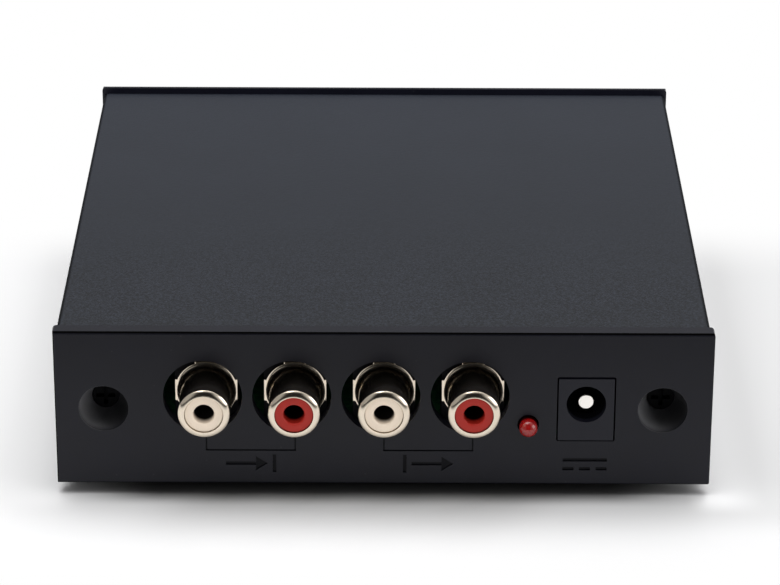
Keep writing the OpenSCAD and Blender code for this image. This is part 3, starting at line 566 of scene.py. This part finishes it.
def socket_housing():
    """The sockets' housings: black plastic like the panel's, with painted shade, dead black, where they lie
    deep.
    """
    base = (0.005, 0.0053, 0.0095)
    s = plastic_shader("housing_black", base, roughness=0.36, Specular_IOR_Level=0.29)
    y = s.node("ShaderNodeSeparateXYZ", {}, s.at).out("Y")
    # Painted shade: dead black deeper behind the panel's face
    s.shaded(y.step(FACE_Y + 0.8 * MM, FACE_Y + 1.8 * MM) * 0.8)
    return s.material


def banded(name, colour, band, axis, pitch_mm, width, roughness=0.3):
    """A lacquered or sleeved body with bands of a second colour along one axis."""
    s = Shader(name)
    along = s.node("ShaderNodeSeparateXYZ", {}, s.at).out(axis)
    phase = (along * (1 / (pitch_mm * MM))).math("FRACT", along * (1 / (pitch_mm * MM)))
    stripe = phase.step(0.5 - width, 0.5 - width * 0.8) * (1 - phase.step(0.5 + width * 0.8, 0.5 + width))
    cloud = s.noise(2.0)
    s.set(
        Base_Color=s.mix(stripe, s.mix(cloud, tint(colour, 0.85), tint(colour, 1.1)), band),
        Roughness=roughness + cloud * 0.08,
        Normal=s.bump(cloud, 0.01),
    )
    return s.material


def board():
    """Circuit board: lacquer over a weave, with tracks that show through it."""
    s = Shader("board_lacquer")
    weave = s.noise(0.3, at=s.stretched(1, 4, 1))
    tracks = s.cells(3.2, "DISTANCE_TO_EDGE").step(0.05, 0.09)
    green, track = (0.012, 0.075, 0.03), (0.03, 0.14, 0.05)
    s.set(Base_Color=s.mix(tracks, track, green), Roughness=0.28 + weave * 0.1, Normal=s.bump(tracks, 0.03))
    return s.material


def tinted_lamp(colours):
    """The lamp: clear red resin, with painted shade, nearly black, at its root in the panel."""
    s = Shader("lamp_resin")
    cloud = s.noise(1.2)
    base = tuple(colours.lamp)
    y = s.node("ShaderNodeSeparateXYZ", {}, s.at).out("Y")
    # Painted shade: the resin turns nearly black towards the hole in the panel
    root = y.step(FACE_Y - 1.0 * MM, FACE_Y - 0.1 * MM)
    resin = s.mix(cloud, tint(base, 0.85), tint(base, 1.15))
    s.set(
        Base_Color=s.mix(root, resin, tint(base, 0.03)),
        Roughness=0.06 + cloud * 0.04,
        Normal=s.bump(cloud, 0.01),
        Subsurface_Weight=0.5,
        Subsurface_Radius=(1.0, 0.1, 0.08),
        Subsurface_Scale=0.8 * MM,
        Coat_Weight=0.4,
    )
    return s.material


def finishes(colours):
    """Every material by the record's slot."""
    nickel = tuple(colours.nickel)
    ivory, red = tuple(colours.ivory), tuple(colours.red)
    return {
        "powder_coat": powder_coat(colours),
        "panel_black": moulded_panel(colours),
        "screw_black": plated("black_screw", (0.006, 0.006, 0.0065), 0.5),
        "foot_rubber": plain_plastic("foot_rubber", (0.012, 0.012, 0.012), 0.75, 0.02, 0.3),
        "board_green": board(),
        "shell_nickel": plated("shell_nickel", nickel),
        "insulator_ivory": insulator_plastic("ivory_nylon", ivory, 2.05, 1.3),
        "insulator_red": insulator_plastic("red_nylon", red, 2.1, 0.6),
        "contact_brass": plated("contact_brass", (0.80, 0.62, 0.32), 0.3),
        "housing_black": socket_housing(),
        "pin_nickel": plated("pin_nickel", (0.90, 0.87, 0.82), 0.16),
        "leg_tin": plated("leg_tin", (0.75, 0.75, 0.74), 0.35),
        "lamp_red": tinted_lamp(colours),
        "can_blue": banded("can_sleeve_blue", (0.01, 0.03, 0.16), (0.5, 0.5, 0.5), "Z", 4.2, 0.12),
        "can_black": banded("can_sleeve_black", (0.012, 0.012, 0.016), (0.4, 0.4, 0.4), "Z", 5.0, 0.1),
        "film_red": plain_plastic("film_red", (0.35, 0.03, 0.015), 0.3),
        "chip_black": plain_plastic("chip_black", (0.014, 0.014, 0.014), 0.55, 0.01),
        "resistor_blue": banded("resistor_lacquer", (0.06, 0.2, 0.33), (0.35, 0.05, 0.02), "X", 1.1, 0.2),
        "choke_grey": plain_plastic("choke_ferrite", (0.05, 0.047, 0.045), 0.6, 0.03, 0.4),
    }


# ---- Pieces -------------------------------------------------------------------------------


def shell_tube(s, back, front):
    """A shell's tube, from the back of its flange to its round nose, as a turned ring.

    The outer side runs from the flange's face through the root's quarter circle and along the
    tube, turns a small edge, and crosses the nose on an arc that is level at the mouth. The
    inner side goes back through the thick rim.
    """
    inner = s.shell_r - s.shell_wall
    rim = front - s.rim_l
    turn = np.linspace(0, math.pi / 2, 13)[:, None]
    root = np.hstack([s.shell_r + s.root_r * (1 - np.sin(turn)), s.root_r * (1 - np.cos(turn))])
    # The arc's slope at the outside comes from its radius and the width that it crosses
    lip_w = 0.03
    level_r = s.mouth_r + lip_w
    slope = math.asin((s.shell_r - level_r) / s.nose_r)
    fine = np.linspace(slope, 0, 25)[:, None]
    nose = np.hstack([level_r + s.nose_r * np.sin(fine), front - s.nose_r * (1 - np.cos(fine))])
    edge = rounded([(s.shell_r, s.root_r), nose[0], nose[3]], [0, s.nose_edge, 0])
    inside = [(s.mouth_r, front), (s.mouth_r, rim), (inner, rim), (inner, -back)]
    behind = [*inside, (s.shell_r + s.root_r, -back)]
    return lathe(np.vstack([root, edge[1:-1], nose[4:], behind]))


def flange_outline(s, angle):
    """The flange's radius at each angle: a disc with a flat lug on top and one at each side."""
    across, up = np.abs(np.cos(angle)), np.sin(angle)
    tiny = 1e-6
    top = np.minimum(s.lug_half_w / (across + tiny), s.lug_out / np.maximum(up, tiny)) * (up > 0)
    side = np.minimum(s.lug_out / (across + tiny), s.lug_half_h / (np.abs(up) + tiny))
    return np.maximum.reduce([np.full_like(angle, s.flange_r), top, side])


def flange_plate(s):
    """The stamped flange: its section, rounded at the outer edges, carried round the outline.

    A section's point lies a fixed distance inside the outline, or on the hole's circle.
    """
    angle = np.linspace(0, 2 * math.pi, 360, endpoint=False)
    outer = flange_outline(s, angle)
    e, t, hole = s.flange_edge, s.flange_t, s.shell_r - s.shell_wall
    turn = np.linspace(0, math.pi / 2, 6)
    inset = np.concatenate([e * (1 - np.sin(turn)), e * (1 - np.cos(turn))])
    height = np.concatenate([-e * (1 - np.cos(turn)), -t + e * (1 - np.sin(turn))])
    hole_row = np.full_like(outer, hole)[None]
    r = np.vstack([hole_row, outer[None] - inset[:, None], hole_row])
    z = np.concatenate([[0], height, [-t]])[:, None] + 0 * angle
    points = np.stack([r * np.cos(angle), r * np.sin(angle), z], -1).reshape(-1, 3)
    return points, grid_faces(len(r), len(angle), True, True)


class PREAMP_OT_shells(bpy.types.Operator):
    """Makes the four nickel shells of the phono sockets"""

    bl_idname = "preamp.shells"
    bl_label = "Socket shells"

    def execute(self, context):
        s = sizes()[0]
        for name in SOCKETS:
            x, z = socket_axis(name)
            node = "shell_" + name
            flange_y = NOSE_Y + s.shell_l * MM
            below = (z - BOARD_TOP) / MM + s.tail_below
            half_w, skin = s.tail_w / 2, 0.02
            low = (-half_w, -below, -s.flange_t + skin)
            tail = slab(low, (half_w, -s.shell_r - 0.2, -skin))
            parts = [shell_tube(s, s.flange_t * 0.9, s.shell_l), flange_plate(s), tail]
            place = socket_frame(x, z, flange_y)
            solid_piece(node + "_turned", parts, place, "case", "shell_nickel", [node])
        return {"FINISHED"}


class PREAMP_OT_insulators(bpy.types.Operator):
    """Makes the four insulators inside the shells"""

    bl_idname = "preamp.insulators"
    bl_label = "Socket insulators"

    def execute(self, context):
        s = sizes()[0]
        face = s.shell_l - s.plug_recess
        gap, back = 0.03, -3
        shoulder = s.shell_l - s.rim_l - gap
        wide = s.shell_r - s.shell_wall - gap
        bore = [(s.bore_r, back), (s.bore_r, face)]
        outside = [(s.plug_r, face), (s.plug_r, shoulder), (wide, shoulder), (wide, back)]
        corners = bore + outside
        profile = rounded(corners, [0, s.bore_round, s.plug_round, 0, 0.05, 0.1], closed=True)
        for name in SOCKETS:
            x, z = socket_axis(name)
            node = "insulator_" + name
            slot = "insulator_ivory" if name.endswith("white") else "insulator_red"
            place = socket_frame(x, z, NOSE_Y + s.shell_l * MM)
            solid_piece(node + "_moulded", [lathe(profile)], place, "case", slot, [node])
        return {"FINISHED"}


class PREAMP_OT_lamp(bpy.types.Operator):
    """Makes the lamp with its domed front"""

    bl_idname = "preamp.lamp"
    bl_label = "Lamp"

    def execute(self, context):
        s = sizes()[1]
        low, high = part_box("lamp")
        at = middle("lamp")
        long = (high.y - low.y) / MM
        a = np.linspace(math.pi / 2, 0, 25)[:, None]
        dome = np.hstack([s.lamp_r * np.cos(a), long - s.lamp_dome + s.lamp_dome * np.sin(a)])
        wide, thick = s.lamp_flange_r, s.lamp_flange_t
        profile = np.vstack([dome, [(s.lamp_r, thick), (wide, thick), (wide, 0), (0, 0)]])
        place = socket_frame(at.x, at.z, high.y)
        body = lathe(profile, closed=False)
        solid_piece("lamp_domed", [body], place, "case", "lamp_red", ["lamp"])
        return {"FINISHED"}


class PREAMP_OT_pin(bpy.types.Operator):
    """Makes the power socket's turned centre pin, with its tail"""

    bl_idname = "preamp.pin"
    bl_label = "Power pin"

    def execute(self, context):
        s = sizes()[1]
        low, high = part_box("dc_pin")
        at = middle("dc_pin")
        long = (high.y - low.y) / MM
        axis_z = high.z - s.pin_root * MM
        root = [(s.pin_root, s.pin_root_l), (s.pin_root, 0), (0, 0)]
        profile = [(0, long), (s.pin_r, long), (s.pin_r, s.pin_root_l), *root]
        turned = lathe(rounded(profile, [0, s.pin_round, 0.1, 0.05, 0, 0]), 64, closed=False)
        half_w, tail_z = s.pin_tail_w / 2, (low.z - axis_z) / MM
        tail = slab((-half_w, tail_z, 0.02), (half_w, -s.pin_r, s.pin_tail_t))
        place = socket_frame(at.x, axis_z, high.y)
        solid_piece("dc_pin_turned", [turned, tail], place, "case", "pin_nickel", ["dc_pin"])
        return {"FINISHED"}


class PREAMP_OT_feet(bpy.types.Operator):
    """Makes the four rubber feet, dished underneath"""

    bl_idname = "preamp.feet"
    bl_label = "Feet"

    def execute(self, context):
        s = sizes()[1]
        for name in FEET:
            node = "foot_" + name
            low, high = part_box(node)
            at = middle(node)
            r, h = (high.x - low.x) / 2 / MM, (high.z - low.z) / MM
            taper = 0.6
            flat, dish = r - taper, s.foot_dish
            sole = [(flat, 0), (flat * 0.75, 0), (flat * 0.65, dish), (0, dish)]
            corners = [(0, h), (r, h), *sole]
            profile = rounded(corners, [0, 0.1, s.foot_round * 0.5, 0.15, 0.15, 0])
            place = Matrix.Translation((at.x, at.y, low.z))
            body = lathe(profile, closed=False)
            solid_piece(node + "_moulded", [body], place, "case", "foot_rubber", [node])
        return {"FINISHED"}


class PREAMP_OT_finishes(bpy.types.Operator):
    """Gives every piece that stays as it is packed its material"""

    bl_idname = "preamp.finishes"
    bl_label = "Finishes"

    def execute(self, context):
        FINISHES.update(finishes(sizes()[2]))
        for part in FRAME["record"]["subparts"]:
            mesh = FRAME["nodes"][part["node"]].data
            mesh.materials.clear()
            mesh.materials.append(FINISHES[part["material_slot"]])
        return {"FINISHED"}


FINISHES = {}


# ---- Studio -------------------------------------------------------------------------------


def softbox(name, at, towards, width, height, watts):
    """An area light that faces a point."""
    light = bpy.data.lights.new(name, "AREA")
    light.shape, light.size, light.size_y, light.energy = "RECTANGLE", width, height, watts
    lamp = bpy.data.objects.new(name, light)
    lamp.location = at
    lamp.rotation_euler = (Vector(towards) - Vector(at)).to_track_quat("-Z", "Y").to_euler()
    bpy.context.scene.collection.objects.link(lamp)
    return lamp


def studio_room(s):
    """A pale room with bright sides and a dark front behind the camera; white where the camera looks.

    What the metal shows of the sides reaches further to the front than what lights the floor.
    """
    world = bpy.data.worlds.new("room")
    world.use_nodes = True
    room = Shader.of(world.node_tree)
    way = room.node("ShaderNodeSeparateXYZ", {}, room.node("ShaderNodeTexCoord", {}))
    towards_front, up = 0 - way.out("Y"), way.out("Z")
    overhead = up.step(0.66, 0.88)
    dark = towards_front.step(0.05, 0.4)
    walls = dark * (s.dark_room - s.room) + s.room
    x = way.out("X")
    light_path = room.node("ShaderNodeLightPath", {})
    diffuse = light_path.out("Is Diffuse Ray")
    aside = x.math("ABSOLUTE", x)
    sides = aside.step(0.28, 0.62) * (1 - diffuse) + aside.step(0.75, 0.95) * diffuse
    walls = walls * (1 - sides) + sides * (s.sides + x * 0.15)
    glow = walls * (1 - overhead) + overhead * s.ceiling * (1 - towards_front * 1.3)
    seen = light_path.out("Is Camera Ray")
    back = world.node_tree.nodes["Background"]
    back.inputs["Color"].default_value = (1, 1, 1, 1)
    room.feed(back.inputs["Strength"], glow * (1 - seen) + seen)
    return world


def floor_card(s):
    """The floor: pale card with the object's shadow on it, and white where it is background.

    It is background behind the object and to its sides, and for the camera alone in front,
    where the card ends and the metal shows the dark side of the room. Part of the shadow is
    tint at fixed places, which doesn't follow the light: nearly black under the front edge,
    paler just beside the object, and duller to the right.
    """
    shader = Shader("floor_card")
    fibre = shader.noise(4.0, detail=3.0)
    place = shader.node("ShaderNodeSeparateXYZ", {}, shader.at)
    x, y = place.out("X"), place.out("Y")
    card = tuple(s.floor)
    pale = shader.mix(fibre, tint(card, 0.995), card)
    front_share = 0.4
    right = x.step(-0.07, 0.07) * (y.step(-0.068, -0.058) * (1 - front_share) + front_share)
    pale = shader.mix(right, pale, tint(card, s.floor_right))
    aside = x.math("ABSOLUTE", x)
    close = aside.step(0.049, 0.053) * (1 - aside.step(0.054, 0.063)) * y.step(-0.060, -0.054)
    pale = shader.mix(close, pale, tint(card, 1.1))
    under = y.step(-0.0572, -0.052) * (1 - aside.step(0.036, 0.053))
    pale = shader.mix(under, pale, tint(card, 0.15))
    beyond = (0 - y).step(0.105, 0.16)
    ground = shader.mix(beyond, pale, tuple(s.floor_dark))
    shader.set(Base_Color=ground, Roughness=0.9, Specular_IOR_Level=0.2)
    ray = shader.node("ShaderNodeLightPath", {})
    camera = ray.out("Is Camera Ray")
    mirrored = ray.out("Is Glossy Ray") + ray.out("Is Transmission Ray")
    behind = y.step(0.035, 0.062)
    beside = aside.step(0.075, 0.11)
    around = behind.math("MAXIMUM", behind, beside * y.step(-0.12, -0.06))
    before = (0 - y).step(0.066, 0.082)
    white = around * (camera + mirrored) + before * camera
    paper = shader.node("ShaderNodeEmission", {}, Color=(1, 1, 1, 1), Strength=1.0)
    shader.mix_surface(white.clamped(), paper)
    return shader


class PREAMP_OT_studio(bpy.types.Operator):
    """Makes the floor, the room, the lights and the camera"""

    bl_idname = "preamp.studio"
    bl_label = "Studio"

    def execute(self, context):
        s = sizes()[3]
        scene = context.scene
        shader = floor_card(s)
        floor_half = 2.5
        across = np.linspace(-floor_half, floor_half, 3)
        x, y = np.meshgrid(across, across, indexing="ij")
        points = np.stack([x, y, 0 * x], -1).reshape(-1, 3)
        mesh = bpy.data.meshes.new("floor")
        mesh.from_pydata(points.tolist(), [], grid_faces(3, 3).tolist())
        mesh.materials.append(shader.material)
        floor = bpy.data.objects.new("floor", mesh)
        scene.collection.objects.link(floor)

        scene.world = studio_room(s)
        softbox("top_softbox", (-0.04, 0.04, 1.1), (0, 0, 0), 1.4, 0.7, s.top_w)
        # The fill is for the insulators: it leaves the floor's shadow, the wells and the metal alone
        fill = softbox("front_fill", (-0.2, -0.95, 0.5), (0, -0.06, 0.02), 0.8, 0.5, s.front_w)
        fill.visible_glossy = False
        unlit = bpy.data.collections.new("not_lit_by_the_fill")
        for held_off in (floor, FRAME["nodes"]["connector_panel"]):
            unlit.objects.link(held_off)
        for entry in unlit.collection_objects:
            entry.light_linking.link_state = "EXCLUDE"
        fill.light_linking.receiver_collection = unlit
        softbox("right_softbox", (1.0, -0.35, 0.35), (0, 0, 0.02), 0.9, 0.6, s.right_w)
        softbox("back_softbox", (0.0, 1.2, 0.9), (0, 0, 0.02), 1.6, 0.5, s.back_w)

        camera = bpy.data.cameras.new("camera")
        camera.lens, camera.sensor_width = s.lens, 36
        camera.clip_start, camera.clip_end = 0.01, 20
        holder = bpy.data.objects.new("camera", camera)
        yaw, pitch, roll = (math.radians(v) for v in (s.yaw, s.pitch, s.roll))
        ahead = Vector((math.sin(yaw) * math.cos(pitch), math.cos(yaw) * math.cos(pitch), -math.sin(pitch)))
        level = Vector((math.cos(yaw), -math.sin(yaw), 0))
        up = level.cross(ahead)
        right = level * math.cos(roll) + up * math.sin(roll)
        over = up * math.cos(roll) - level * math.sin(roll)
        turn = Matrix((right, over, -ahead)).transposed()
        holder.matrix_world = Matrix.Translation(Vector(s.camera_at) * MM) @ turn.to_4x4()
        scene.collection.objects.link(holder)
        scene.camera = holder
        scene.view_settings.view_transform = "Standard"
        return {"FINISHED"}


class PREAMP_PT_panel(bpy.types.Panel):
    """Lists the pieces and the sizes"""

    bl_label = "Phono preamp"
    bl_space_type = "VIEW_3D"
    bl_region_type = "UI"
    bl_category = "Phono preamp"

    def draw(self, context):
        for operator in OPERATORS:
            self.layout.operator(operator.bl_idname)
        for group in sizes():
            for name in group.bl_rna.properties.keys():
                if name not in ("rna_type", "name"):
                    self.layout.prop(group, name)


OPERATORS = (
    PREAMP_OT_finishes,
    PREAMP_OT_studio,
    PREAMP_OT_shells,
    PREAMP_OT_insulators,
    PREAMP_OT_lamp,
    PREAMP_OT_pin,
    PREAMP_OT_feet,
)
GROUPS = {
    "preamp_sockets": SocketSizes,
    "preamp_small": SmallPieces,
    "preamp_colours": Colours,
    "preamp_studio": Studio,
}


def register():
    for cls in (*GROUPS.values(), *OPERATORS, PREAMP_PT_panel):
        bpy.utils.register_class(cls)
    for name, group in GROUPS.items():
        setattr(bpy.types.Scene, name, PointerProperty(type=group))


def unregister():
    for name in GROUPS:
        delattr(bpy.types.Scene, name)
    for cls in reversed((*GROUPS.values(), *OPERATORS, PREAMP_PT_panel)):
        bpy.utils.unregister_class(cls)


def main():
    """Makes everything in order."""
    register()
    bpy.ops.preamp.finishes()
    bpy.ops.preamp.studio()
    bpy.ops.preamp.shells()
    bpy.ops.preamp.insulators()
    bpy.ops.preamp.lamp()
    bpy.ops.preamp.pin()
    bpy.ops.preamp.feet()


if __name__ == "__main__":
    main()
